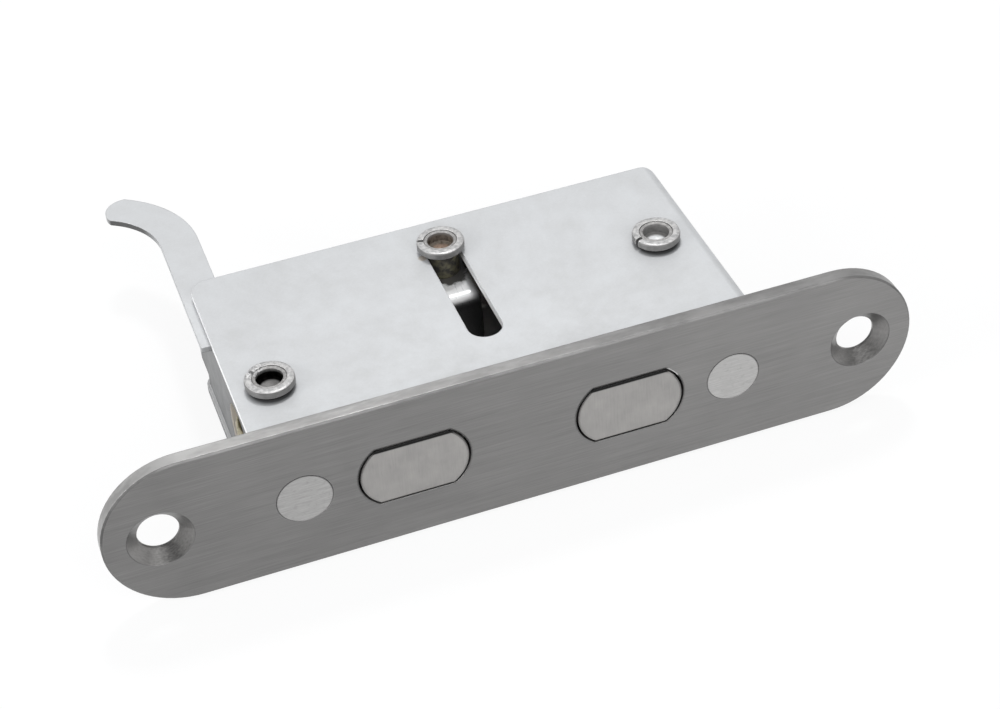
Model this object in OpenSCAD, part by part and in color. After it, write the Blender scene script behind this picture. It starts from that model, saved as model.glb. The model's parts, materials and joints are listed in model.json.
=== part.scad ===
// Auxiliary lock for the edge of a door: a stadium-shaped face plate, a folded sheet case behind it,
// two oblong bolts on one sliding carrier, and a hook lever that drives the carrier.
// X runs along the face plate, Y into the door and Z through the case. Millimetres.
// The origin is the centre of the face plate's front. The bolts are drawn in, the lever at rest.

/* [Face plate] */
// Length of the face plate
plate_l = 110; // [96:1:140]
// Width of the face plate
plate_w = 22.6; // [18:0.2:30]
// Thickness of the face plate
plate_t = 2; // [1.6:0.1:3]
// Chamfer round the front edge of the face plate
plate_chamfer = 0.25; // [0.1:0.05:0.5]

/* [Screw holes] */
// Distance from each end of the face plate to its screw hole
screw_inset = 7.4; // [5.6:0.1:10]
// Bore for the fixing screws
screw_bore_d = 5.4; // [4:0.1:6]
// Countersink diameter at the front face
csk_d = 8.7; // [7:0.1:10]
// Straight land left under the countersink
csk_land = 0.4; // [0.2:0.05:0.8]

/* [Studs] */
// Distance from each side of the case to its stud
stud_inset = 4.84; // [4.6:0.02:6]
// Diameter of the flush stud
stud_d = 7.3; // [6:0.1:8]
// Gap round the stud in the face plate
stud_gap = 0.06; // [0.02:0.01:0.12]
// Diameter of the stud's tenon through the front wall
tenon_d = 5; // [3:0.1:5.6]
// Diameter of the head formed behind the front wall
stud_head_d = 6.4; // [5.8:0.1:6.6]
// Height of the head formed behind the front wall
stud_head_h = 1; // [0.6:0.1:1.6]

/* [Bolts] */
// Distance between the centres of the two bolts
bolt_spacing = 29.3; // [26:0.1:31]
// Width of a bolt along the face plate
bolt_w = 14.4; // [12:0.1:15]
// Height of a bolt
bolt_h = 8.6; // [7.6:0.1:9.2]
// Radius of the bolt's rounded ends
bolt_end_r = 5.2; // [4.7:0.1:6.5]
// Length of a bolt from its face to the carrier
bolt_l = 24.3; // [23.6:0.1:30]
// Gap between a bolt and its aperture
bolt_gap = 0.3; // [0.2:0.05:0.4]
// Travel of the bolts out of the face plate
bolt_throw = 18; // [12:0.5:19]

/* [Case] */
// Width of the case
case_w = 68; // [66:0.5:80]
// Height of the case over its two flat sheets
case_h = 16; // [15.6:0.1:18]
// Thickness of the case sheets and of the carrier
sheet_t = 1.2; // [1:0.05:1.4]
// Outer radius of the folds in the case sheets
fold_r = 1.6; // [1.5:0.1:2.4]
// Radius of the case's rear corners, seen from above
corner_r = 2.3; // [0.8:0.1:3]
// How far the lower sheet stands out beyond the left wall
base_lip = 0.45; // [0.2:0.05:1]
// How far the lower sheet stops short of the cover at the rear
base_short = 1.7; // [0.5:0.1:3]
// Free depth behind the carrier
rear_clear = 3.3; // [3.1:0.1:6]
// Gap between the top of the rear wall and the lever
rear_wall_gap = 0.2; // [0.1:0.05:0.5]
// Gap between each end of the rear wall and the side walls
rear_wall_side = 0.2; // [0.1:0.05:0.5]
// Length of the relief under the rear end of the left wall
relief_l = 3; // [1:0.1:5]
// Height of the relief under the rear end of the left wall
relief_h = 1.9; // [0.5:0.1:3]
// Length of each of the cover's two locating tabs
tab_l = 4; // [2:0.1:6]
// Distance from the face plate to the first tab
tab_y = 8; // [5:0.5:12]
// Distance between the two tabs
tab_pitch = 18; // [10:0.5:20]

/* [Carrier] */
// Depth of the carrier from its bent front to its rear edge
carrier_d = 10.9; // [10.4:0.1:14]
// Outer radius of the carrier's bent front
carrier_fold_r = 1.8; // [1.6:0.1:2.2]
// How far the carrier's top stands above the top of the bolts
carrier_rise = 0.3; // [0:0.1:0.6]
// Width of each tab that holds a bolt
bolt_tab_w = 13.7; // [11.5:0.1:14]
// Width of the middle tongue
tongue_w = 5.8; // [5.2:0.1:8]
// Depth of the notches beside the tongue
notch_d = 8; // [5:0.1:9]
// Diameter of the rivet that holds a bolt
bolt_rivet_d = 2.6; // [2:0.1:3]
// Diameter of that rivet's head
bolt_rivet_head_d = 4; // [3.4:0.1:4]
// Depth of the rivet's bore in the bolt
bolt_rivet_depth = 6; // [4:0.5:10]

/* [Guide pin] */
// Sideways place of the guide slot and its pin
guide_x = 0.05; // [-1:0.05:1]
// Distance from the carrier's front to the guide pin
guide_back = 7.6; // [6:0.1:8]
// Side clearance of the guide pin in its slot
guide_clear = 0.075; // [0.03:0.005:0.1]
// Free length at each end of the guide slot
slot_end_gap = 0.15; // [0.05:0.05:0.5]
// Diameter of the collar under the carrier
guide_collar_d = 6.2; // [5.6:0.1:7]
// Height of the collars and rivet heads under the carrier
collar_h = 0.8; // [0.5:0.1:1.2]

/* [Posts and rings] */
// Diameter of the posts and of the guide pin
post_d = 4.6; // [4.2:0.1:5]
// Play of a post in the sheets
post_fit = 0.05; // [0.02:0.01:0.1]
// Diameter of the hollow in a post's end
hollow_d = 3.6; // [2.6:0.1:3.6]
// Depth of the straight part of the hollow
hollow_depth = 1.5; // [0.8:0.1:4]
// Depth of the groove for the split ring
groove_depth = 0.2; // [0.1:0.05:0.3]
// Height of the lip that lies in the top of the split ring
lip_h = 0.3; // [0.2:0.05:0.6]
// Outer diameter of a split ring
ring_d = 6.55; // [5.8:0.05:8]
// Thickness of a split ring
ring_t = 1.1; // [0.8:0.05:1.4]
// Width of the slit in a split ring
ring_slit = 0.5; // [0.2:0.05:0.8]
// Diameter of the washer under a ring
washer_d = 5.5; // [5.3:0.1:6.2]
// Thickness of the washer under a ring
washer_t = 0.45; // [0.3:0.05:0.8]
// Diameter of a post's riveted foot
foot_d = 6.2; // [5.4:0.1:7]
// Height of a post's riveted foot
foot_h = 0.8; // [0.4:0.1:0.9]
// Distance from the right side of the case to the support post
support_inset = 6.5; // [5:0.1:8]
// Distance from the face plate's front to the support post
support_y = 21.6; // [14:0.1:28]
// Body diameter of the support post
support_d = 7.2; // [6:0.1:7.2]

/* [Lever] */
// Distance from the left side of the case to the lever's pivot
pivot_inset = 5; // [4.8:0.1:6]
// Distance from the face plate's front to the lever's pivot
pivot_y = 13.3; // [12:0.1:14.5]
// Thickness of the lever
lever_t = 0.8; // [0.6:0.05:1.1]
// Gap between the lever and the sheets above and below it
lever_gap = 0.1; // [0.05:0.01:0.2]
// Gap between the lever and the left wall beside it
lever_side_gap = 0.3; // [0.2:0.05:0.5]
// Distance from the face plate's front to the lever's shoulder
shoulder_y = 26; // [24:0.1:28]
// Width of the lever's arm
arm_w = 5.3; // [4:0.1:7]
// How far the arm stands out beyond the left side of the case
arm_out = 1.3; // [0.5:0.1:2.5]
// Straight length of the arm behind the case
arm_reach = 11.6; // [6:0.5:20]
// Inner radius of the hook
hook_r = 10.9; // [7:0.1:14]
// Angle that the hook turns through
hook_angle = 55; // [30:1:90]
// Radius of the hook's blunt tip
tip_r = 3; // [2:0.1:4]
// Radius of the lever's neck between hub and arm
neck_r = 2.9; // [2:0.1:3.2]
// Distance of the drive pin from the middle of the left bolt
drive_side = 3.65; // [1:0.05:4]
// Distance from the carrier's front to the drive pin
drive_back = 4.7; // [4.3:0.1:5.2]
// Diameter of the drive pin
drive_d = 3; // [2.4:0.1:3.4]
// Play of the drive pin in the lever's curved slot
drive_clear = 0.07; // [0.04:0.01:0.1]
// Metal left round the curved slot
slot_web = 1.6; // [1.2:0.1:1.8]

/* [Return spring] */
// Mean radius of the coil
spring_r = 5; // [4.7:0.05:5.2]
// Wire diameter
wire_d = 0.6; // [0.5:0.05:0.8]
// Whole turns of the coil
spring_turns = 9; // [4:1:10]
// Pitch of the coil
spring_pitch = 0.65; // [0.65:0.01:0.9]
// Outer diameter of the bush inside the coil
bush_d = 7.3; // [6:0.1:7.4]
// Diameter of the round window for the coil in the left wall
window_d = 12; // [11:0.1:12.4]
// How far the window lies forward of the pivot
window_forward = 0.9; // [0:0.1:1.5]
// How far the window and the coil lie below the middle of the case
window_drop = 0.1; // [0:0.1:0.4]

/* [Hidden] */
$fn = 64;

eps = 0.01;
// Play that keeps two pressed or riveted surfaces just apart
rivet_fit = 0.02;
// Play of the cover's tabs in the lower sheet
tab_fit = 0.1;
// Depth by which the lever's edges run into one another
blend_fit = 0.01;
// Angle of the slit in each split ring, seen from above
guide_slit = 162;
pivot_slit = 137;
support_slit = 195;

cover_top = case_h / 2;
cover_under = cover_top - sheet_t;
base_bottom = -case_h / 2;
base_top = base_bottom + sheet_t;
side_x = case_w / 2;
wall_in_x = side_x - sheet_t;
front_in_y = plate_t + sheet_t;
case_back = bolt_l + carrier_d + rear_clear;
base_back = case_back - base_short;

screw_x = plate_l / 2 - screw_inset;
stud_x = side_x - stud_inset;
bolt_x = bolt_spacing / 2;

carrier_top = bolt_h / 2 + carrier_rise;
carrier_under = carrier_top - sheet_t;
guide_y = bolt_l + guide_back;
slot_r = post_d / 2 + guide_clear;
slot_rear_y = guide_y + slot_end_gap;
slot_front_y = guide_y - bolt_throw - slot_end_gap;

lever_top = cover_under - lever_gap;
lever_under = lever_top - lever_t;
pivot = [-(side_x - pivot_inset), pivot_y];
support = [side_x - support_inset, support_y];
hub_r = pivot_inset - sheet_t - lever_side_gap;
arm_x = -(side_x + arm_out) + arm_w / 2;
hook_y = case_back + arm_reach;
hook_mid_r = hook_r + arm_w / 2;

// The drive pin slides straight forward while the lever turns at a constant rate,
// so its slot in the lever is the pin's path as the lever sees it.
drive = [-(bolt_x - drive_side), bolt_l + drive_back];
drive_rel = drive - pivot;
lever_turn = atan2(drive_rel.y, drive_rel.x) - atan2(drive_rel.y - bolt_throw, drive_rel.x);
cam_r = drive_d / 2 + drive_clear;
cam_steps = 18;

spring_half_h = (spring_turns * spring_pitch + wire_d) / 2;
spring_mid_z = -window_drop;
spring_out_r = spring_r + wire_d / 2;
// Half the width of the coil where it passes through the left wall
spring_chord = sqrt(max(0, spring_out_r * spring_out_r - pow(pivot_inset - sheet_t, 2)));
spring_room = 0.3;
window_r = max(window_d / 2, norm([spring_chord + window_forward, spring_half_h]) + spring_room);
anchor_y = spring_r * tan(atan2(drive_rel.y, drive_rel.x));
anchor_bend_r = 1;
wire_sides = 8;

ring_z = cover_top + washer_t;
groove_r = post_d / 2 - groove_depth;
lip_z = ring_z + ring_t - lip_h + 2 * rivet_fit;

// Rotates a plane vector anticlockwise
function turned(v, a) = [v.x * cos(a) - v.y * sin(a), v.x * sin(a) + v.y * cos(a)];

// Where the lever sees the drive pin when the bolts are out by s
function cam_point(s) = pivot + turned(drive_rel - [0, s], lever_turn * s / bolt_throw);

// Heading of the drive pin on its path in the lever
function cam_heading(s) =
    let (d = cam_point(s + eps) - cam_point(s - eps)) atan2(d.y, d.x);

function polar(r, a) = r * [cos(a), sin(a)];

// Outline of a band of half width r along that path. The path curls round to the left,
// so the band's left side ends where it meets the round end.
function cam_outline(r) =
    let (stations = [for (i = [0 : cam_steps]) bolt_throw * i / cam_steps],
         first = cam_point(0),
         last = cam_point(bolt_throw),
         right = [for (s = stations) cam_point(s) + polar(r, cam_heading(s) - 90)],
         left = [for (i = [cam_steps : -1 : 0])
             let (s = stations[i], q = cam_point(s) + polar(r, cam_heading(s) + 90))
             if (norm(q - last) > r + eps) q],
         a0 = cam_heading(bolt_throw) - 90,
         meet = left[0] - last,
         sweep = ((atan2(meet.y, meet.x) - a0) % 360 + 360) % 360,
         back = cam_heading(0) + 90,
         n = 16)
    concat(right, [for (i = [1 : n - 1]) last + polar(r, a0 + sweep * i / n)],
           left, [for (i = [1 : n - 1]) first + polar(r, back + 180 * i / n)]);

// Outline of two circles and their outer tangents, set in by the small depth tuck
module link_2d(p1, r1, p2, r2, tuck = 0) {
    d = norm(p2 - p1);
    along = (p2 - p1) / d;
    a = acos((r1 - r2) / d);
    left = turned(along, a);
    right = turned(along, -a);
    translate(p1) circle(r1);
    translate(p2) circle(r2);
    q1 = r1 - tuck;
    q2 = r2 - tuck;
    polygon([p1 + q1 * left, p1 + q1 * right, p2 + q2 * right, p2 + q2 * left]);
}

// Extrudes a shape drawn in X and Z into the door, from depth y0 over the length h
module into_door(y0, h) {
    translate([0, y0 + h, 0]) rotate([90, 0, 0]) linear_extrude(h) children();
}

// Round hole or pin that runs into the door
module y_cylinder(x, y0, h, r1, r2) {
    translate([x, y0, 0]) rotate([-90, 0, 0]) cylinder(h = h, r1 = r1, r2 = r2);
}

module bolt_2d(grow) {
    w = bolt_w + 2 * grow;
    h = bolt_h + 2 * grow;
    r = bolt_end_r + grow;
    intersection() {
        square([w, h], center = true);
        union() {
            for (side = [-1, 1]) translate([side * (w / 2 - r), 0]) circle(r);
            square([w - 2 * r, h], center = true);
        }
    }
}

// Both bolts' outlines
module bolt_pair_2d(grow) {
    for (side = [-1, 1]) translate([side * bolt_x, 0]) bolt_2d(grow);
}

// Section of a right-angled fold. The outer corner is the origin, the legs run to -X and -Y.
module fold_2d(leg_x, leg_y, r) {
    translate([-leg_x, -sheet_t]) square([leg_x - r, sheet_t]);
    translate([-sheet_t, -leg_y]) square([sheet_t, leg_y - r]);
    translate([-r, -r]) intersection() {
        difference() {
            circle(r);
            circle(r - sheet_t);
        }
        square(r);
    }
}

// Plan of a case sheet with two rounded rear corners
module sheet_plan_2d(x0, x1, y0, y1) {
    translate([x0, y0]) square([x1 - x0, y1 - y0 - corner_r]);
    translate([x0 + corner_r, y0]) square([x1 - x0 - 2 * corner_r, y1 - y0]);
    for (x = [x0 + corner_r, x1 - corner_r]) translate([x, y1 - corner_r]) circle(corner_r);
}

module guide_slot_2d() {
    link_2d([guide_x, slot_front_y], slot_r, [guide_x, slot_rear_y], slot_r);
}

module tab_places() {
    for (y = [tab_y, tab_y + tab_pitch]) translate([0, plate_t + y, 0]) children();
}

// Tapered front layer of the face plate, which gives its chamfer
module plate_front() {
    straight = plate_l - plate_w;
    half = plate_w / 2;
    for (side = [-1, 1])
        y_cylinder(side * straight / 2, 0, plate_chamfer, half - plate_chamfer, half);
    translate([-straight / 2, 0, 0]) rotate([90, 0, 90]) linear_extrude(straight)
        polygon([[0, -half + plate_chamfer], [plate_chamfer, -half],
                 [plate_chamfer, half], [0, half - plate_chamfer]]);
}

module face_plate() {
    csk_depth = plate_t - csk_land;
    end_x = (plate_l - plate_w) / 2;
    color([0.52, 0.52, 0.51]) difference() {
        union() {
            plate_front();
            into_door(plate_chamfer, plate_t - plate_chamfer)
                link_2d([-end_x, 0], plate_w / 2, [end_x, 0], plate_w / 2);
        }
        into_door(-1, plate_t + 2) bolt_pair_2d(bolt_gap);
        for (side = [-1, 1]) {
            y_cylinder(side * screw_x, -1, plate_t + 2, screw_bore_d / 2, screw_bore_d / 2);
            y_cylinder(side * screw_x, -eps, csk_depth + eps, csk_d / 2, screw_bore_d / 2);
            y_cylinder(side * stud_x, -1, plate_t + 2, stud_d / 2 + stud_gap, stud_d / 2 + stud_gap);
        }
    }
}

// Flush stud with its tenon and the head formed behind the front wall
module stud(side) {
    edge = 0.3;
    color([0.68, 0.68, 0.67]) translate([side * stud_x, 0, 0]) rotate([-90, 0, 0]) rotate_extrude()
        polygon([[0, 0], [stud_d / 2, 0], [stud_d / 2, plate_t], [tenon_d / 2, plate_t],
                 [tenon_d / 2, front_in_y], [stud_head_d / 2, front_in_y],
                 [stud_head_d / 2, front_in_y + stud_head_h - edge],
                 [stud_head_d / 2 - edge, front_in_y + stud_head_h], [0, front_in_y + stud_head_h]]);
}

module left_stud() {
    stud(-1);
}

module right_stud() {
    stud(1);
}

// Left wall with the vertical fold that joins it to the front wall
module left_wall() {
    translate([-side_x, plate_t, base_top]) linear_extrude(cover_under - base_top)
        rotate(180) fold_2d(2 * fold_r, case_back - plate_t, fold_r);
}

// Cuts in the left wall: the lever's way out, the coil's window and the rear relief
module left_wall_cuts() {
    x0 = -side_x - 1;
    deep = sheet_t + 2;
    cut_y = shoulder_y - lever_gap;
    cut_z = lever_under - lever_gap;
    translate([x0, cut_y, cut_z]) cube([deep, case_back, case_h]);
    translate([x0, base_back - relief_l + base_short / 2, base_top - eps]) cube([deep, case_back, relief_h]);
    translate([x0, pivot_y - window_forward, spring_mid_z]) rotate([0, 90, 0])
        cylinder(h = deep, r = window_r);
}

// Through bore and peened foot's countersink for a post in the lower sheet
module post_seat(p) {
    r = post_d / 2 + post_fit;
    translate([p.x, p.y, base_bottom - 1]) cylinder(h = sheet_t + 2, r = r);
    translate([p.x, p.y, base_bottom - eps]) cylinder(h = foot_h + eps, r1 = foot_d / 2 + rivet_fit, r2 = r);
}

module chassis() {
    base_left = -side_x - base_lip;
    front_left = -side_x + fold_r;
    front_right = side_x - fold_r;
    rear_half = wall_in_x - rear_wall_side;
    rear_h = lever_under - rear_wall_gap - base_bottom;
    color([0.74, 0.75, 0.76]) difference() {
        union() {
            translate([0, 0, base_bottom]) linear_extrude(sheet_t) difference() {
                sheet_plan_2d(base_left, side_x, plate_t + fold_r, base_back);
                translate([-rear_half, base_back - fold_r]) square([2 * rear_half, 2 * fold_r]);
            }
            translate([-rear_half, base_back, base_bottom]) rotate([90, 0, 90])
                linear_extrude(2 * rear_half) mirror([0, 1]) fold_2d(2 * fold_r, rear_h, fold_r);
            translate([front_left, plate_t, base_bottom]) rotate([90, 0, 90])
                linear_extrude(front_right - front_left)
                    rotate(180) fold_2d(2 * fold_r, cover_under - base_bottom, fold_r);
            left_wall();
        }
        left_wall_cuts();
        into_door(plate_t - 1, sheet_t + 2) bolt_pair_2d(bolt_gap);
        for (side = [-1, 1])
            y_cylinder(side * stud_x, plate_t - 1, sheet_t + 2,
                       tenon_d / 2 + rivet_fit, tenon_d / 2 + rivet_fit);
        post_seat(pivot);
        post_seat(support);
        translate([0, 0, base_bottom - 1]) linear_extrude(sheet_t + 2) guide_slot_2d();
        tab_places() translate([wall_in_x - tab_fit, -tab_fit, base_bottom - 1])
            cube([sheet_t + tab_fit + 1, tab_l + 2 * tab_fit, sheet_t + 2]);
    }
}

module cover() {
    color([0.82, 0.84, 0.85]) difference() {
        union() {
            intersection() {
                translate([side_x, 0, cover_top]) into_door(plate_t, case_back - plate_t)
                    fold_2d(case_w, cover_top - base_top, fold_r);
                translate([0, 0, base_top - 1]) linear_extrude(case_h)
                    sheet_plan_2d(-side_x, side_x, plate_t, case_back);
            }
            tab_places() translate([wall_in_x, 0, base_bottom]) cube([sheet_t, tab_l, 2 * sheet_t]);
        }
        for (p = [pivot, support])
            translate([p.x, p.y, cover_under - 1]) cylinder(h = sheet_t + 2, r = post_d / 2 + post_fit);
        translate([0, 0, cover_under - 1]) linear_extrude(sheet_t + 2) guide_slot_2d();
    }
}

module bolt(side) {
    bore_r = bolt_rivet_d / 2 + rivet_fit;
    color([0.64, 0.64, 0.62]) difference() {
        into_door(0, bolt_l) translate([side * bolt_x, 0]) bolt_2d(0);
        y_cylinder(side * bolt_x, bolt_l - bolt_rivet_depth, bolt_rivet_depth + 1, bore_r, bore_r);
    }
}

module left_bolt() {
    bolt(-1);
}

module right_bolt() {
    bolt(1);
}

// Bent carrier: a rear bar, a tab behind each bolt and a middle tongue, all folded down in front
module bolt_carrier() {
    half_w = bolt_x + bolt_tab_w / 2;
    tab_in = bolt_x - bolt_tab_w / 2;
    lip_h = carrier_top + bolt_h / 2 - 0.1;
    notch_y = bolt_l - 1;
    color([0.78, 0.79, 0.80]) difference() {
        intersection() {
            translate([-half_w, bolt_l, carrier_top]) rotate([90, 0, 90]) linear_extrude(2 * half_w)
                mirror([1, 0]) fold_2d(carrier_d, lip_h, carrier_fold_r);
            translate([0, 0, -case_h]) linear_extrude(2 * case_h)
                sheet_plan_2d(-half_w, half_w, bolt_l, bolt_l + carrier_d);
        }
        translate([-tab_in, notch_y, -case_h]) cube([tab_in + guide_x - tongue_w / 2, notch_d + 1, 2 * case_h]);
        translate([guide_x + tongue_w / 2, notch_y, -case_h])
            cube([tab_in - guide_x - tongue_w / 2, notch_d + 1, 2 * case_h]);
        translate([guide_x, guide_y, 0]) cylinder(h = case_h, r = post_d / 2 + rivet_fit);
        translate([drive.x, drive.y, 0]) cylinder(h = case_h, r = drive_d / 2 + rivet_fit);
        for (side = [-1, 1])
            y_cylinder(side * bolt_x, bolt_l - 1, sheet_t + 2,
                       bolt_rivet_d / 2 + rivet_fit, bolt_rivet_d / 2 + rivet_fit);
    }
}

// Rivet from behind the carrier's lip into the bolt
module bolt_rivet(side) {
    shank = bolt_rivet_depth - 0.5;
    head_y = bolt_l + sheet_t;
    head_h = 1.1;
    edge = 0.4;
    color([0.70, 0.70, 0.69]) translate([side * bolt_x, 0, 0]) rotate([-90, 0, 0]) rotate_extrude()
        polygon([[0, bolt_l - shank], [bolt_rivet_d / 2, bolt_l - shank], [bolt_rivet_d / 2, head_y],
                 [bolt_rivet_head_d / 2, head_y], [bolt_rivet_head_d / 2, head_y + head_h - edge],
                 [bolt_rivet_head_d / 2 - edge, head_y + head_h], [0, head_y + head_h]]);
}

module left_bolt_rivet() {
    bolt_rivet(-1);
}

module right_bolt_rivet() {
    bolt_rivet(1);
}

// Section of a post's upper end: groove for the ring, lip and drilled hollow
function post_end() =
    let (r = post_d / 2, floor_z = lip_z + lip_h - hollow_depth, mouth = (r + hollow_d / 2) / 2)
    [[r, ring_z], [groove_r, ring_z], [groove_r, lip_z], [r, lip_z], [r, lip_z + lip_h / 2],
     [mouth, lip_z + lip_h], [hollow_d / 2, lip_z + lip_h / 2], [hollow_d / 2, floor_z],
     [0, floor_z - hollow_d / 4]];

// Section of a post's riveted foot
function post_foot() = [[0, base_bottom], [foot_d / 2, base_bottom], [post_d / 2, base_bottom + foot_h]];

module post_solid(p, lower) {
    translate([p.x, p.y, 0]) rotate_extrude() polygon(concat(lower, post_end()));
}

module pivot_post() {
    color([0.66, 0.66, 0.64]) post_solid(pivot, post_foot());
}

module support_post() {
    r = post_d / 2;
    color([0.66, 0.66, 0.64]) post_solid(support, concat(post_foot(),
        [[r, base_top], [support_d / 2, base_top], [support_d / 2, cover_under], [r, cover_under]]));
}

module guide_pin() {
    r = post_d / 2;
    color([0.60, 0.57, 0.53]) post_solid([guide_x, guide_y],
        [[0, base_bottom + lever_gap], [r, base_bottom + lever_gap], [r, carrier_under - collar_h],
         [guide_collar_d / 2, carrier_under - collar_h], [guide_collar_d / 2, carrier_under],
         [r, carrier_under]]);
}

// Split ring round a post, stepped inside for the post's lip, with its slit at the given angle
module split_ring(p, slit) {
    edge = 0.15;
    in_r = groove_r + rivet_fit;
    step_r = post_d / 2 + rivet_fit;
    step_z = lip_z - rivet_fit;
    out_r = ring_d / 2;
    low = ring_z + rivet_fit;
    high = low + ring_t;
    color([0.72, 0.72, 0.70]) translate([p.x, p.y, 0]) difference() {
        rotate_extrude() polygon([[in_r, low], [out_r - edge, low], [out_r, low + edge],
                                  [out_r, high - 2 * edge], [out_r - edge / 2, high - edge / 2],
                                  [out_r - 2 * edge, high], [step_r, high], [step_r, step_z],
                                  [in_r, step_z]]);
        rotate(slit) translate([0, -ring_slit / 2, low - 1]) cube([out_r + 1, ring_slit, ring_t + 2]);
    }
}

module washer(p, lift) {
    color([0.12, 0.12, 0.12]) translate([p.x, p.y, cover_top + lift]) difference() {
        cylinder(h = washer_t - lift - rivet_fit, r = washer_d / 2);
        translate([0, 0, -1]) cylinder(h = washer_t + 2, r = post_d / 2 + rivet_fit);
    }
}

module guide_washer() {
    washer([guide_x, guide_y], lever_gap);
}

module guide_ring() {
    split_ring([guide_x, guide_y], guide_slit);
}

module pivot_washer() {
    washer(pivot, 0);
}

module pivot_ring() {
    split_ring(pivot, pivot_slit);
}

module support_washer() {
    washer(support, 0);
}

module support_ring() {
    split_ring(support, support_slit);
}

// Pin that stands on the carrier and runs in the lever's curved slot
module drive_pin() {
    r = drive_d / 2;
    head_r = r + 0.45;
    color([0.62, 0.62, 0.60]) translate([drive.x, drive.y, 0]) rotate_extrude()
        polygon([[0, carrier_under - collar_h], [head_r, carrier_under - collar_h],
                 [head_r, carrier_under], [r, carrier_under], [r, lever_top - lever_gap],
                 [0, lever_top - lever_gap]]);
}

// Sleeve round the pivot post that carries the lever and centres the spring
module pivot_bush() {
    color([0.75, 0.60, 0.34]) translate([pivot.x, pivot.y, base_top]) difference() {
        cylinder(h = lever_under - lever_gap - base_top, r = bush_d / 2);
        translate([0, 0, -1]) cylinder(h = case_h, r = post_d / 2 + post_fit);
    }
}

// Round hook that continues the arm
module hook_2d() {
    centre = [arm_x - hook_mid_r, hook_y];
    far = 2 * (hook_r + arm_w);
    translate(centre) intersection() {
        difference() {
            circle(hook_r + arm_w);
            circle(hook_r);
        }
        polygon([[0, 0], [far, 0], [far, far * tan(hook_angle / 2)], turned([far, 0], hook_angle)]);
    }
    tip = max(tip_r, arm_w / 2 + 0.1);
    translate(centre) rotate(hook_angle) intersection() {
        translate([hook_r - blend_fit, -0.3]) square([arm_w + 2 * blend_fit, 2 * tip]);
        translate([hook_mid_r, 2.5 - tip]) circle(tip);
    }
}

// Hub, inner arm with its pad, neck, outer arm with its shoulder, and hook
module lever_outline_2d() {
    pad_r = cam_r + slot_web;
    neck = [-wall_in_x + lever_side_gap + neck_r, shoulder_y + neck_r];
    arm_start = [arm_x, shoulder_y + 4 * neck_r];
    polygon(cam_outline(pad_r));
    link_2d(pivot, hub_r, cam_point(bolt_throw), pad_r - 5 * blend_fit, blend_fit);
    link_2d(pivot, hub_r, neck, neck_r, blend_fit);
    link_2d(neck, neck_r, arm_start, arm_w / 2 - 5 * blend_fit, blend_fit);
    translate([arm_x - arm_w / 2, shoulder_y]) square([arm_w, hook_y - shoulder_y]);
    hook_2d();
}

module hook_lever() {
    color([0.80, 0.81, 0.82]) translate([0, 0, lever_under]) linear_extrude(lever_t) difference() {
        lever_outline_2d();
        translate(pivot) circle(post_d / 2 + post_fit);
        translate(pivot + [spring_r, anchor_y]) circle(wire_d / 2 + 2 * post_fit);
        polygon(cam_outline(cam_r));
    }
}

// Stations along the spring's wire: place, first and second normal.
// A straight leg from the front wall, the coil, then a leg that turns up into the lever.
function spring_stations() =
    let (x = spring_r, rise = spring_turns * spring_pitch / 2, z0 = spring_mid_z - rise,
         z1 = spring_mid_z + rise, leg_end = front_in_y + rivet_fit - pivot_y, per_turn = 20,
         bend_y = anchor_y - anchor_bend_r)
    concat([[[x, leg_end, z0], [1, 0, 0], [0, 0, 1]]],
           [for (i = [0 : spring_turns * per_turn])
               let (a = 360 * i / per_turn)
               [[x * cos(a), x * sin(a), z0 + spring_pitch * i / per_turn], [cos(a), sin(a), 0], [0, 0, 1]]],
           [for (t = [0 : 22.5 : 90])
               [[x, bend_y + anchor_bend_r * sin(t), z1 + anchor_bend_r * (1 - cos(t))],
                [1, 0, 0], [0, -sin(t), cos(t)]]],
           [[[x, anchor_y, lever_top - lever_gap], [1, 0, 0], [0, -1, 0]]]);

module return_spring() {
    stations = spring_stations();
    last = len(stations) - 1;
    n = wire_sides;
    points = [for (s = stations) for (k = [0 : n - 1])
        s[0] + wire_d / 2 * (cos(360 * k / n) * s[1] + sin(360 * k / n) * s[2])];
    sides = [for (i = [0 : last - 1]) for (k = [0 : n - 1])
        [i * n + k, i * n + (k + 1) % n, (i + 1) * n + (k + 1) % n, (i + 1) * n + k]];
    ends = [[for (k = [n - 1 : -1 : 0]) k], [for (k = [0 : n - 1]) last * n + k]];
    color([0.72, 0.58, 0.32]) translate([pivot.x, pivot.y, 0]) polyhedron(points, concat(sides, ends));
}

face_plate();
left_stud();
right_stud();
chassis();
cover();
left_bolt();
right_bolt();
bolt_carrier();
left_bolt_rivet();
right_bolt_rivet();
guide_pin();
guide_washer();
guide_ring();
drive_pin();
hook_lever();
pivot_post();
pivot_washer();
pivot_ring();
pivot_bush();
return_spring();
support_post();
support_washer();
support_ring();
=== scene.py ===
"""Looks of the auxiliary door lock: materials, camera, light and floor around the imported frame.
Lengths are in mm, in the row frame, and MM turns them into metres. Every shape but the floor
comes from the frame, and every finish is procedural."""

import json
import math

import bpy
from mathutils import Euler, Matrix, Vector


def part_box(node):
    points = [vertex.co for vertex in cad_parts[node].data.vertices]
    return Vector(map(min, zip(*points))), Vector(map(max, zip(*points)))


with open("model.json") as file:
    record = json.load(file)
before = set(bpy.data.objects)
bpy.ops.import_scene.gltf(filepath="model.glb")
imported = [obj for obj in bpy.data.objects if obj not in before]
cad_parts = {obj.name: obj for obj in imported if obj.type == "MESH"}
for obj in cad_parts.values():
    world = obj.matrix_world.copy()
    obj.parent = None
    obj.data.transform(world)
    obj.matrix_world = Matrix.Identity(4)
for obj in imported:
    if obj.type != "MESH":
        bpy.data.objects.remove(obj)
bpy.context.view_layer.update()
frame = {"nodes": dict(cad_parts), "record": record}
scene = bpy.context.scene
MM = 0.001


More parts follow.
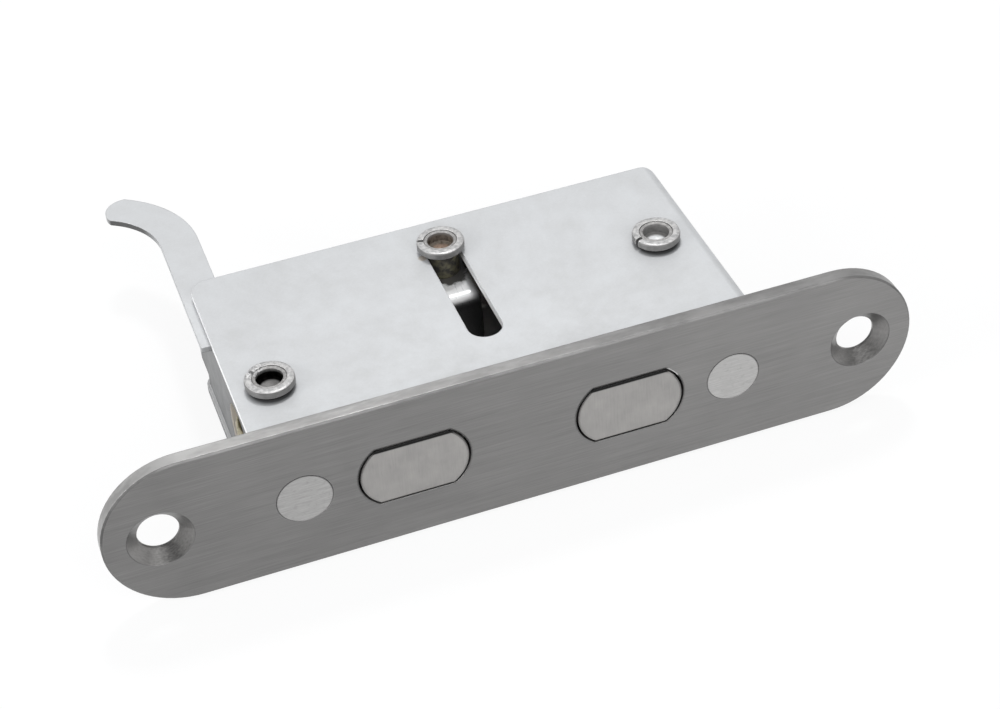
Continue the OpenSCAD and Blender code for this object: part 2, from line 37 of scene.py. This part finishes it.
def low_corner(node):
    """Lowest corner of a CAD node's box in mm."""
    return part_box(node)[0] / MM


def high_corner(node):
    """Highest corner of a CAD node's box in mm."""
    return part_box(node)[1] / MM


def middle(node):
    """Middle of a CAD node's box in mm."""
    return (low_corner(node) + high_corner(node)) / 2


def screw_spacing():
    """Distance in mm between the holes of the record's face screws."""
    patterns = [mount for mount in frame["record"]["mounts"] if mount["name"] == "face_screws"]
    return patterns[0]["dims"]["spacing_x_mm"]


# Upright axes of the posts and the guide pin, as X and Y
PIVOT = middle("pivot_post").xy
SUPPORT = middle("support_post").xy
GUIDE = middle("guide_pin").xy
# Top of the posts' lips
LIP_TOP = high_corner("pivot_post").z
# Radius of the hollow in a post's end
HOLLOW = 1.8
# Height below which a post's shaft is stained olive and darkened with painted shade, just under the
# rings
SHAFT_TOP = 8.35

# Distance of each screw hole from the middle of the plate
SCREWS = screw_spacing() / 2
# Radius that just takes in a countersink
COUNTERSINK = 4.36
# Turn of the painted sheen's pale and dark lobes in a countersink, in radians
LOBE_TURN = 0.17
# Where the painted shade on the plate's narrow side goes from paler to darker, from left to right
SIDE_FADE = (-14, 12)

# Middle of the right bolt, and half its size. The left bolt is its mirror image.
BOLT = middle("right_bolt")
BOLT_HALF = high_corner("right_bolt") - BOLT

# Radius of the painted shadow that each ring casts on the cover, and how far it is towards the front
RING_SHADOW_RADIUS = 3.35
RING_SHADOW_SHIFT = 0.5

# Marks of use: a bright nick in the rim of the right aperture, as X and Z, and, as X and Y, a
# crushed patch on the pivot ring and a smear beside the guide ring. Last, as X and Y, a painted
# highlight in the pivot's hollow
NICK = (21.1, 4.1)
NICK_REACH = 1.0
CRUSHED = (-30.4, 15.0)
SMEAR = (-2.95, 30.9)
PAINTED_GLINT = (-29.3, 13.5)

# The lower sheet stops this far in front of the case's rear
BASE_SHORT = 1.7
# Half the side of the square floor, and how far it lies under the lock
FLOOR_HALF = 1500
FLOOR_GAP = 0.02
# Part of the floor's look that is plain white where it is seen. The rest shows the shadow.
FLOOR_WHITE = 0.88

# Point that every lamp faces
LIT_POINT = Vector((0, 20, 0))
# Colour and strength of the light from all round
SKY = (0.95, 0.97, 1.0, 1)
SKY_STRENGTH = 0.55

# Camera, solved from the photo: its place, its turn about X, Y and Z in degrees, and its lens
EYE = Vector((-60.117, -193.604, 181.441))
EYE_TURN = (50.3134, 3.5842, -19.592)
LENS = 76.53
SENSOR_WIDTH = 36.0

# Linear colours that aren't grey, but for the white and the floor
WHITE = (1, 1, 1, 1)
FLOOR_PAINT = (0.86, 0.86, 0.86, 1)
BROWN = (0.34, 0.25, 0.15, 1)
RUSTY = (0.28, 0.205, 0.16, 1)
OLIVE = (0.15, 0.14, 0.085, 1)
DARK_BRASS = (0.35, 0.29, 0.19, 1)
PALE_BRASS = (0.62, 0.56, 0.40, 1)
DARK_WIRE = (0.25, 0.22, 0.14, 1)
PALE_WIRE = (0.43, 0.39, 0.28, 1)
BRASS_STAIN = (0.10, 0.08, 0.045, 1)

# Rays by which Cycles finds each rounded normal
BEVEL_SAMPLES = 6


def grey(value, warm=0.0):
    """Linear colour of an 8-bit grey, with red raised and blue lowered by warm."""
    level = (value / 255.0) ** 2.2
    return (level * (1 + warm), level, level * (1 - warm), 1.0)


class Finish:
    """A procedural material under construction. A mask or value is a socket or a number."""

    def __init__(self, name):
        self.mat = bpy.data.materials.new(name)
        self.mat.use_nodes = True
        self.tree = self.mat.node_tree
        self.shader = self.tree.nodes["Principled BSDF"]
        self.coord = self.new("ShaderNodeTexCoord").outputs["Object"]
        self.normal = self.new("ShaderNodeTexCoord").outputs["Normal"]

    def new(self, kind, **settings):
        """New node with these settings."""
        node = self.tree.nodes.new(kind)
        for key, value in settings.items():
            setattr(node, key, value)
        return node

    def put(self, socket, value):
        """Links a socket to another one, or sets it to a plain value."""
        if isinstance(value, bpy.types.NodeSocket):
            self.tree.links.new(value, socket)
        else:
            socket.default_value = value

    def math(self, operation, a, b=0.0):
        """Result of one operation on one or two values."""
        node = self.new("ShaderNodeMath", operation=operation)
        self.put(node.inputs[0], a)
        self.put(node.inputs[1], b)
        return node.outputs[0]

    def product(self, first, *others):
        """Product of masks."""
        for other in others:
            first = self.math("MULTIPLY", first, other)
        return first

    def weighted(self, first, *others):
        """Sum of (value, weight) pairs."""
        result = self.product(*first)
        for pair in others:
            result = self.math("ADD", result, self.product(*pair))
        return result

    def noise(self, size, detail=3.0, stretch=(1, 1, 1), rough=0.55):
        """Noise whose features are about size mm across, longer along the axes that stretch names."""
        place = self.new("ShaderNodeMapping")
        self.put(place.inputs["Vector"], self.coord)
        place.inputs["Scale"].default_value = [1 / s for s in stretch]
        node = self.new("ShaderNodeTexNoise")
        self.put(node.inputs["Vector"], place.outputs["Vector"])
        node.inputs["Scale"].default_value = 1 / (size * MM)
        node.inputs["Detail"].default_value = detail
        node.inputs["Roughness"].default_value = rough
        return node.outputs["Fac"]

    def remap(self, value, low, high, out_low=0.0, out_high=1.0):
        """Value carried from low..high to out_low..out_high, and held at the ends."""
        node = self.new("ShaderNodeMapRange", clamp=True)
        self.put(node.inputs["Value"], value)
        node.inputs["From Min"].default_value = low
        node.inputs["From Max"].default_value = high
        node.inputs["To Min"].default_value = out_low
        node.inputs["To Max"].default_value = out_high
        return node.outputs["Result"]

    def blend(self, factor, a, b):
        """Colour a where factor is 0, b where it is 1."""
        node = self.new("ShaderNodeMix", data_type="RGBA", blend_type="MIX")
        self.put(node.inputs["Factor"], factor)
        self.put(node.inputs["A"], a)
        self.put(node.inputs["B"], b)
        return node.outputs["Result"]

    def ramp(self, value, low, high, dark, light):
        """Colour that goes from dark to light as value goes from low to high."""
        return self.blend(self.remap(value, low, high), dark, light)

    def paint(self, colour, shade, *masks):
        """Colour covered with shade as far as the product of the masks says."""
        return self.blend(self.product(*masks), colour, shade)

    def component(self, vector, name):
        """One component of a vector."""
        node = self.new("ShaderNodeSeparateXYZ")
        self.put(node.inputs["Vector"], vector)
        return node.outputs[name]

    def axis(self, name):
        """Coordinate along one axis of the object, in metres."""
        return self.component(self.coord, name)

    def span(self, name, low, high, out_low=0.0, out_high=1.0):
        """Mask that changes between two places in mm along one axis."""
        return self.remap(self.axis(name), low * MM, high * MM, out_low, out_high)

    def near_middle(self, place, outer, inner):
        """Mask that is 0 where place, in metres, is over outer mm from 0, and 1 within inner mm."""
        return self.remap(self.math("ABSOLUTE", place), outer * MM, inner * MM)

    def facing(self, name, low, high):
        """Mask that changes as the normal's component along one axis goes from low to high."""
        return self.remap(self.component(self.normal, name), low, high)

    def offsets(self, centre, across):
        """Offsets in metres from a centre, along X and along the axis named by across."""
        x = self.math("SUBTRACT", self.axis("X"), centre[0] * MM)
        y = self.math("SUBTRACT", self.axis(across), centre[1] * MM)
        return x, y

    def radius(self, centre, across="Y"):
        """Distance in mm from an upright axis, or from one along Y when across is Z."""
        x, y = self.offsets(centre, across)
        squared = self.math("ADD", self.product(x, x), self.product(y, y))
        return self.product(self.math("SQRT", squared), 1 / MM)

    def spot(self, centre, reach, across="Y"):
        """Mask that is 1 within reach mm of an axis and fades out over a third of that."""
        return self.remap(self.radius(centre, across), reach * 1.35, reach)

    def angle(self, centre):
        """Angle in radians round an axis along Y, from +X towards +Z."""
        x, z = self.offsets(centre, "Z")
        return self.math("ARCTAN2", z, x)

    def rounded(self, width):
        """Surface normal with the edges rounded by width mm."""
        node = self.new("ShaderNodeBevel", samples=BEVEL_SAMPLES)
        node.inputs["Radius"].default_value = width * MM
        return node.outputs["Normal"]

    def edge(self, width, full=0.85):
        """Mask that is 1 along sharp edges and 0 away from them. Width in mm. A full nearer to 1
        makes its core wider."""
        dot = self.new("ShaderNodeVectorMath", operation="DOT_PRODUCT")
        self.put(dot.inputs[0], self.rounded(width))
        self.put(dot.inputs[1], self.new("ShaderNodeNewGeometry").outputs["Normal"])
        return self.remap(dot.outputs["Value"], 0.995, full)

    def surface(self, colour, rough, metallic, height, depth, width):
        """Sets the shader. Height is raised by depth mm, and edges are rounded by width mm."""
        self.put(self.shader.inputs["Base Color"], colour)
        self.put(self.shader.inputs["Roughness"], rough)
        self.shader.inputs["Metallic"].default_value = metallic
        bump = self.new("ShaderNodeBump")
        bump.inputs["Strength"].default_value = 1.0
        bump.inputs["Distance"].default_value = depth * MM
        self.put(bump.inputs["Height"], height)
        self.put(bump.inputs["Normal"], self.rounded(width))
        self.put(self.shader.inputs["Normal"], bump.outputs["Normal"])
        return self.mat


def plate_side(f, colour):
    """Steel on the plate's narrow side in painted shade, darker to the right with paler patches, with
    a broken painted highlight along its edges and painted shade on its chamfer.
    """
    # Painted shade: the narrow side takes a grey of its own, darker than the front and darker still
    # to the right, with paler patches.
    side = f.product(f.facing("Y", -0.6, -0.4), f.facing("Y", 0.6, 0.4))
    patch = f.remap(f.noise(4, 4, (3, 1, 1), 0.7), 0.4, 0.6)
    rightward = f.span("X", *SIDE_FADE)
    paler_side_shade = f.blend(rightward, grey(164, 0.01), grey(128, 0.01))
    plain = f.blend(rightward, grey(138, 0.01), grey(110, 0.01))
    colour = f.paint(colour, f.blend(patch, plain, paler_side_shade), side)
    # Painted highlight along the edges, broken up by noise.
    broken_highlight = f.remap(f.noise(2.5, 4, (3, 1, 1), 0.7), 0.42, 0.6)
    colour = f.paint(colour, grey(176, 0.02), f.edge(0.13), broken_highlight, 0.3)
    # Painted shade on the chamfer.
    chamfer = f.product(f.facing("Y", -0.95, -0.85), f.facing("Y", -0.5, -0.6))
    return f.paint(colour, f.blend(patch, grey(90, 0.01), grey(110, 0.01)), chamfer)


def aperture_rims(f, colour):
    """Rims of the bolt apertures, with painted shade of the gaps round the bolts that is darker
    towards the top, and the bright nick in the right one.
    """
    to_bolt = f.math("SUBTRACT", f.math("ABSOLUTE", f.axis("X")), BOLT.x * MM)
    near = f.near_middle(to_bolt, BOLT_HALF.x + 0.9, BOLT_HALF.x + 0.7)
    level = f.near_middle(f.axis("Z"), BOLT_HALF.z + 0.9, BOLT_HALF.z + 0.7)
    upward = f.span("Z", -BOLT_HALF.z, 2, 0.15, 1.0)
    nick = f.spot(NICK, NICK_REACH, "Z")
    whole = f.math("SUBTRACT", 1.0, nick)
    # Painted shade along the rims, standing for the dark gaps round the bolts, strongest at the top
    # and left off at the nick.
    colour = f.paint(colour, grey(36), f.edge(0.42, 0.95), near, level, upward, whole)
    return f.paint(colour, grey(214), f.edge(0.3, 0.95), nick)


def countersink(f, colour, side):
    """Turned cone of one screw hole, with a painted sheen round it: two pale lobes and two dark ones,
    and paler to the left.
    """
    hole = (side * SCREWS, 0)
    angle = f.angle(hole)
    # Painted sheen and shade: pale lobes to the left and right, dark ones above and below, paler to
    # the left, mixed with grain.
    lobes = f.math("COSINE", f.product(f.math("SUBTRACT", angle, LOBE_TURN), 2))
    lobes = f.math("SUBTRACT", lobes, f.product(f.math("COSINE", angle), 0.25))
    turned = f.weighted((lobes, 0.38), (f.noise(0.5, 3, (1, 0.3, 1)), 0.5))
    cone = f.ramp(turned, -0.25, 0.75, grey(58, 0.02), grey(142, 0.02))
    within = f.remap(f.radius(hole, "Z"), COUNTERSINK, COUNTERSINK - 0.12)
    return f.paint(colour, cone, within, f.span("Y", 0.02, 0.12))


def brushed_plate():
    """Satin stainless plate, brushed along its length, with turned countersinks, and with painted
    light and shade: lighter to the right and upwards, and on its side, chamfer, aperture rims and
    countersinks.
    """
    f = Finish("satin_steel")
    grain = f.noise(0.16, 4, (60, 1, 1), 0.7)
    broad = f.noise(1.1, 3, (30, 1, 1), 0.6)
    cloud = f.noise(14, 3)
    # Painted light: the steel grows lighter towards the right and towards the top.
    painted_light_drift = ((f.axis("X"), 1.6), (f.axis("Z"), 2.0))
    tone = f.weighted((grain, 0.62), (broad, 0.18), (cloud, 0.2), *painted_light_drift)
    colour = f.ramp(tone, 0.26, 0.74, grey(107, 0.01), grey(141, 0.015))
    colour = plate_side(f, colour)
    colour = aperture_rims(f, colour)
    for side in (-1, 1):
        colour = countersink(f, colour, side)
    rough = f.remap(grain, 0.3, 0.7, 0.30, 0.44)
    return f.surface(colour, rough, 0.8, grain, 0.006, 0.16)


def ground_stud():
    """End of a stud ground flush with the plate, lighter to the right as painted light, with a dark
    line of painted shade round its upper half.
    """
    f = Finish("stud_steel")
    grain = f.noise(0.14, 4, (22, 1, 1), 0.7)
    spots = f.noise(0.7, 3)
    # Painted light: the tone grows lighter towards +X, as on the plate.
    tone = f.math("ADD", grain, f.product(f.axis("X"), 2.2))
    colour = f.ramp(tone, 0.3, 0.7, grey(154, 0.01), grey(186, 0.01))
    colour = f.paint(colour, grey(132, 0.02), f.remap(spots, 0.56, 0.7), 0.3)
    # Painted shade in the joint round the stud's upper half.
    colour = f.paint(colour, grey(48), f.edge(0.34), f.span("Z", -2.5, 2.0))
    rough = f.remap(grain, 0.3, 0.7, 0.30, 0.42)
    return f.surface(colour, rough, 0.9, grain, 0.005, 0.1)


def bolt_steel():
    """Bolt's end face with a faint upright grain, painted shade round its rim that is stronger
    towards the top, a painted shadow along its upper edge, and drawn sides.
    """
    f = Finish("bolt_steel")
    grain = f.noise(0.22, 4, (1, 40, 14), 0.65)
    cloud = f.noise(3.2, 3)
    tone = f.weighted((grain, 0.5), (cloud, 0.5))
    colour = f.ramp(tone, 0.3, 0.7, grey(143, 0.02), grey(163, 0.03))
    # Painted shade of the gap round the bolt, stronger towards the top and weaker at the nick.
    upward = f.span("Z", -BOLT_HALF.z, 0.7 * BOLT_HALF.z, 0.1, 1.0)
    off_nick = f.remap(f.spot(NICK, NICK_REACH, "Z"), 0.0, 1.0, 1.0, 0.3)
    colour = f.paint(colour, grey(44), f.edge(0.5, 0.93), upward, off_nick)
    # Painted shadow along the top of the end face, where the gap above the bolt is dark.
    top_edge_shadow = f.span("Z", BOLT_HALF.z - 0.46, BOLT_HALF.z - 0.30)
    colour = f.paint(colour, grey(30), f.facing("Y", -0.6, -0.9), top_edge_shadow)
    rough = f.remap(grain, 0.3, 0.7, 0.32, 0.46)
    return f.surface(colour, rough, 0.85, grain, 0.006, 0.18)


# Faces of each sheet with a grey of its own that paints light and shade: the grey, the axis and the
# range of the normal along it in which they come in, and the range of Y. The cover's left edge has a
# painted highlight all along, and the lever's forward edge has painted shade behind the case. The
# chassis' left wall has painted shade that darkens towards the front. Behind its front wall its
# forward faces, such as the window's rim, are painted pale as if lit, and so are its upper faces,
# such as the lower sheet's lip.
COVER_PAINTED_FACES = [(grey(252), "X", (-0.6, -0.9), (-1.5, -1))]
LEVER_PAINTED_FACES = [(grey(84), "Y", (-0.05, -0.5), (31.5, 32))]
CHASSIS_PAINTED_FACES = [
    (grey(74), "X", (-0.6, -0.9), (22, 9)),
    (grey(222, 0.06), "Y", (-0.35, -0.8), (3.5, 4)),
    (grey(208), "Z", (0.6, 0.9), (3.5, 4))]


def zinc_sheet(name, low, high, corner, faces, ring_shadows=(), smears=()):
    """Zinc-plated sheet: slightly blue and cloudy, from grey low to high, with a painted highlight of
    the grey corner along its corners and the painted light and shade of faces. The centres of the
    rings' painted shadows are in ring_shadows, and the places of brown smears in smears."""
    f = Finish(name)
    cloud = f.noise(9, 4, rough=0.6)
    mottle = f.noise(2.2, 4, rough=0.65)
    speck = f.noise(0.28, 3)
    tone = f.weighted((cloud, 0.5), (mottle, 0.3), (speck, 0.2))
    colour = f.ramp(tone, 0.36, 0.64, grey(low, -0.012), grey(high, -0.02))
    # Painted highlight of the grey corner along the sheet's corners.
    colour = f.paint(colour, grey(corner, -0.01), f.edge(0.22), 0.5)
    # Painted light and shade on the listed faces.
    for shade, axis, normal_range, y_range in faces:
        colour = f.paint(colour, shade, f.facing(axis, *normal_range), f.span("Y", *y_range))
    for x, y in ring_shadows:
        # Painted shadow on the cover in front of each ring.
        dark = f.remap(f.radius((x, y - RING_SHADOW_SHIFT)), RING_SHADOW_RADIUS, RING_SHADOW_RADIUS - 0.7)
        colour = f.paint(colour, grey(48, -0.02), dark, 0.85)
    for place in smears:
        streaks = f.remap(mottle, 0.35, 0.6, 0.1, 0.5)
        colour = f.paint(colour, BROWN, f.spot(place, 0.5), streaks)
    rough = f.remap(tone, 0.36, 0.64, 0.52, 0.42)
    return f.surface(colour, rough, 0.4, mottle, 0.012, 0.2)


def bright_sheet():
    """Bright plated sheet of the carrier, with a painted shadow at its right and painted shade down
    its bent front, and darker round the guide pin's foot."""
    f = Finish("bright_sheet")
    cloud = f.noise(3, 4)
    grain = f.noise(0.2, 3, (1, 20, 1))
    colour = f.ramp(cloud, 0.35, 0.65, grey(234), grey(248))
    # Painted shadow of the cover over the carrier's right.
    colour = f.paint(colour, grey(84, 0.02), f.span("X", 2.0, 2.8, 0.0, 0.9))
    # Painted shade down the bent front.
    colour = f.paint(colour, grey(46), f.facing("Y", -0.5, -0.85))
    # Darker ragged patch round the guide pin's foot.
    ragged = f.math("ADD", f.radius(GUIDE), f.product(f.noise(1.3, 4), 4.0))
    colour = f.paint(colour, grey(66, 0.06), f.remap(ragged, 6.1, 5.3, 0.0, 0.95))
    rough = f.remap(grain, 0.3, 0.7, 0.26, 0.36)
    return f.surface(colour, rough, 0.15, grain, 0.004, 0.25)


def crushed(f, colour, reach):
    """Colour with the crushed patch beside the pivot ring's slit."""
    speckle = f.ramp(f.noise(0.32, 4), 0.4, 0.6, grey(112, 0.01), grey(206))
    return f.paint(colour, speckle, f.spot(CRUSHED, reach), 0.75)


def turned_post(name, axis, floor, wall, stained=0.2):
    """Turned post: grey lip with a painted highlight on its edges, the given greys on the floor and
    wall of its hollow, mostly painted shade and highlight, which reflects little, stained there, and
    olive with painted shade down its shaft."""
    f = Finish(name)
    spots = f.noise(0.5, 4)
    ring = f.noise(0.25, 3, (1, 1, 0.4))
    metal = f.ramp(spots, 0.35, 0.65, grey(132, 0.02), grey(166, 0.02))
    # Painted highlight along the lip's edges.
    metal = f.paint(metal, grey(200, 0.01), f.edge(0.1), 0.3)
    # Olive stain together with painted shade on the shaft just under the ring.
    olive = f.ramp(f.noise(0.9, 4), 0.42, 0.6, grey(50, 0.12), OLIVE)
    metal = f.paint(metal, olive, f.span("Z", SHAFT_TOP, SHAFT_TOP - 0.25), 0.9)
    metal = crushed(f, metal, 0.85)
    radius = f.radius(axis)
    # Painted shade and highlight in the hollow, from the wall's grey to the floor's.
    hollow_light_and_stain = f.ramp(radius, HOLLOW - 0.3, HOLLOW - 0.55, wall, floor)
    hollow_light_and_stain = f.paint(hollow_light_and_stain, grey(52, 0.15), f.remap(spots, 0.45, 0.7), stained)
    # Painted highlight on the hollow's floor.
    hollow_light_and_stain = f.paint(hollow_light_and_stain, grey(240), f.spot(PAINTED_GLINT, 0.3))
    deep = f.span("Z", LIP_TOP - 0.1, LIP_TOP - 0.7)
    hollow = f.product(f.remap(radius, HOLLOW + 0.18, HOLLOW + 0.04), deep)
    f.put(f.shader.inputs["Specular IOR Level"], f.remap(hollow, 0.0, 1.0, 0.25, 0.02))
    rough = f.remap(ring, 0.3, 0.7, 0.4, 0.55)
    return f.surface(f.blend(hollow, metal, hollow_light_and_stain), rough, 0.5, spots, 0.006, 0.1)


def ring_steel():
    """Plated split ring, with painted shade round its outside and a painted highlight on its edges.
    """
    f = Finish("ring_steel")
    spots = f.noise(0.45, 4)
    colour = f.ramp(spots, 0.38, 0.62, grey(146), grey(180, 0.01))
    # Painted shade on the ring's outer wall.
    wall = f.product(f.facing("Z", -0.75, -0.35), f.facing("Z", 0.75, 0.35))
    colour = f.paint(colour, grey(118, 0.02), wall, 0.8)
    # Painted highlight along the edges.
    colour = f.paint(colour, grey(232, 0.01), f.edge(0.16), 0.5)
    colour = crushed(f, colour, 1.35)
    rough = f.remap(spots, 0.3, 0.7, 0.36, 0.5)
    return f.surface(colour, rough, 0.6, spots, 0.005, 0.14)


def dark_washer():
    """Dark grey washer, as dark as the shade under each ring that it stands for."""
    f = Finish("dark_washer")
    spots = f.noise(0.4, 3)
    # Painted shade: the washer is near black so that the gap under each ring reads as shade.
    colour = f.ramp(spots, 0.35, 0.65, grey(24), grey(46, 0.03))
    rough = f.remap(spots, 0.3, 0.7, 0.5, 0.65)
    return f.surface(colour, rough, 0.0, spots, 0.01, 0.06)


def golden(name, dark, light):
    """Golden wire or plain brass, with darker stains."""
    f = Finish(name)
    spots = f.noise(0.8, 4)
    stain = f.noise(0.3, 3)
    colour = f.ramp(spots, 0.35, 0.65, dark, light)
    colour = f.paint(colour, BRASS_STAIN, f.remap(stain, 0.55, 0.75), 0.5)
    rough = f.remap(spots, 0.3, 0.7, 0.3, 0.44)
    return f.surface(colour, rough, 0.35, stain, 0.006, 0.08)


def wear(material, *names):
    """Gives the material to CAD nodes."""
    for name in names:
        slots = frame["nodes"][name].data.materials
        slots.clear()
        slots.append(material)


wear(brushed_plate(), "face_plate")
wear(ground_stud(), "left_stud", "right_stud")
wear(bolt_steel(), "left_bolt", "right_bolt")
wear(zinc_sheet("zinc_sheet", 178, 190, 226, COVER_PAINTED_FACES, (PIVOT, SUPPORT), [SMEAR]), "cover")
wear(zinc_sheet("lever_zinc", 180, 192, 190, LEVER_PAINTED_FACES), "hook_lever")
wear(zinc_sheet("dull_zinc_sheet", 100, 116, 150, CHASSIS_PAINTED_FACES), "chassis")
wear(bright_sheet(), "bolt_carrier", "left_bolt_rivet", "right_bolt_rivet", "drive_pin")
# Painted shade on the pivot's hollow wall and a painted highlight on the support's hollow floor. The
# guide's floor is rust.
wear(turned_post("pivot_steel", PIVOT, grey(138, 0.02), grey(8, 0.05)), "pivot_post")
wear(turned_post("support_steel", SUPPORT, grey(236, -0.01), grey(126, 0.02)), "support_post")
wear(turned_post("guide_steel", GUIDE, RUSTY, grey(118, 0.16), 0.8), "guide_pin")
wear(ring_steel(), "pivot_ring", "support_ring", "guide_ring")
wear(dark_washer(), "pivot_washer", "support_washer", "guide_washer")
wear(golden("brass", DARK_BRASS, PALE_BRASS), "pivot_bush")
wear(golden("gold_wire", DARK_WIRE, PALE_WIRE), "return_spring")


def seen(tree):
    """1 for rays from the camera, off metal or through glass, and 0 for the light on the lock."""
    path = tree.nodes.new("ShaderNodeLightPath").outputs
    result = path["Is Camera Ray"]
    for name in ("Is Glossy Ray", "Is Transmission Ray"):
        either = tree.nodes.new("ShaderNodeMath")
        either.operation = "MAXIMUM"
        tree.links.new(result, either.inputs[0])
        tree.links.new(path[name], either.inputs[1])
        result = either.outputs[0]
    return result


def floor_white():
    """White floor paint, mostly plain white where it is seen, so that a soft shadow is left."""
    f = Finish("floor_white")
    f.shader.inputs["Base Color"].default_value = FLOOR_PAINT
    f.shader.inputs["Roughness"].default_value = 0.9
    f.shader.inputs["Specular IOR Level"].default_value = 0.1
    white = f.new("ShaderNodeEmission")
    white.inputs["Color"].default_value = WHITE
    white.inputs["Strength"].default_value = 1.0
    mix = f.new("ShaderNodeMixShader")
    f.put(mix.inputs[0], f.product(seen(f.tree), FLOOR_WHITE))
    f.put(mix.inputs[1], f.shader.outputs["BSDF"])
    f.put(mix.inputs[2], white.outputs["Emission"])
    f.put(f.tree.nodes["Material Output"].inputs["Surface"], mix.outputs["Shader"])
    return f.mat


def tilted_floor():
    """White floor under the plate's lower edge and the lower sheet's rear edge."""
    front = Vector((0, high_corner("face_plate").y, low_corner("face_plate").z))
    rear = Vector((0, high_corner("chassis").y - BASE_SHORT, low_corner("chassis").z))
    slope = math.atan2(rear.z - front.z, rear.y - front.y)
    half = FLOOR_HALF * MM
    mesh = bpy.data.meshes.new("floor")
    corners = [(-half, -half, 0), (half, -half, 0), (half, half, 0), (-half, half, 0)]
    mesh.from_pydata(corners, [], [(0, 1, 2, 3)])
    mesh.materials.append(floor_white())
    floor = bpy.data.objects.new("floor", mesh)
    scene.collection.objects.link(floor)
    under = (front - Vector((0, 0, FLOOR_GAP))) * MM
    floor.matrix_world = Matrix.Translation(under) @ Matrix.Rotation(slope, 4, "X")


def area_light(name, place, size, power):
    """Square white lamp of that size, with its power in watts, facing the lock."""
    data = bpy.data.lights.new(name, "AREA")
    data.shape = "SQUARE"
    data.size = size * MM
    data.energy = power
    lamp = bpy.data.objects.new(name, data)
    scene.collection.objects.link(lamp)
    turn = (LIT_POINT - Vector(place)).to_track_quat("-Z", "Y").to_matrix().to_4x4()
    lamp.matrix_world = Matrix.Translation(Vector(place) * MM) @ turn


def lamps():
    """A small key lamp above and behind, and two broad ones in front and at the left."""
    area_light("key", (130, 360, 860), 120, 3.1)
    area_light("fill", (100, -620, 550), 600, 3.0)
    area_light("side", (-700, -100, 320), 300, 2.6)


def surroundings():
    """World that lights the lock with a weak bluish white and is plain white where it is seen."""
    world = bpy.data.worlds.new("studio")
    scene.world = world
    world.use_nodes = True
    tree = world.node_tree
    light = tree.nodes["Background"]
    light.inputs["Color"].default_value = SKY
    light.inputs["Strength"].default_value = SKY_STRENGTH
    white = tree.nodes.new("ShaderNodeBackground")
    white.inputs["Color"].default_value = WHITE
    white.inputs["Strength"].default_value = 1.0
    mix = tree.nodes.new("ShaderNodeMixShader")
    tree.links.new(seen(tree), mix.inputs[0])
    tree.links.new(light.outputs[0], mix.inputs[1])
    tree.links.new(white.outputs[0], mix.inputs[2])
    tree.links.new(mix.outputs[0], tree.nodes["World Output"].inputs["Surface"])


def camera():
    """Camera from which the photo was taken."""
    data = bpy.data.cameras.new("camera")
    data.sensor_fit = "HORIZONTAL"
    data.sensor_width = SENSOR_WIDTH
    data.lens = LENS
    data.clip_start = 10 * MM
    data.clip_end = 10000 * MM
    eye = bpy.data.objects.new("camera", data)
    scene.collection.objects.link(eye)
    turn = Euler([math.radians(angle) for angle in EYE_TURN], "XYZ").to_matrix().to_4x4()
    eye.matrix_world = Matrix.Translation(EYE * MM) @ turn
    scene.camera = eye


tilted_floor()
lamps()
surroundings()
camera()
scene.view_settings.view_transform = "Standard"
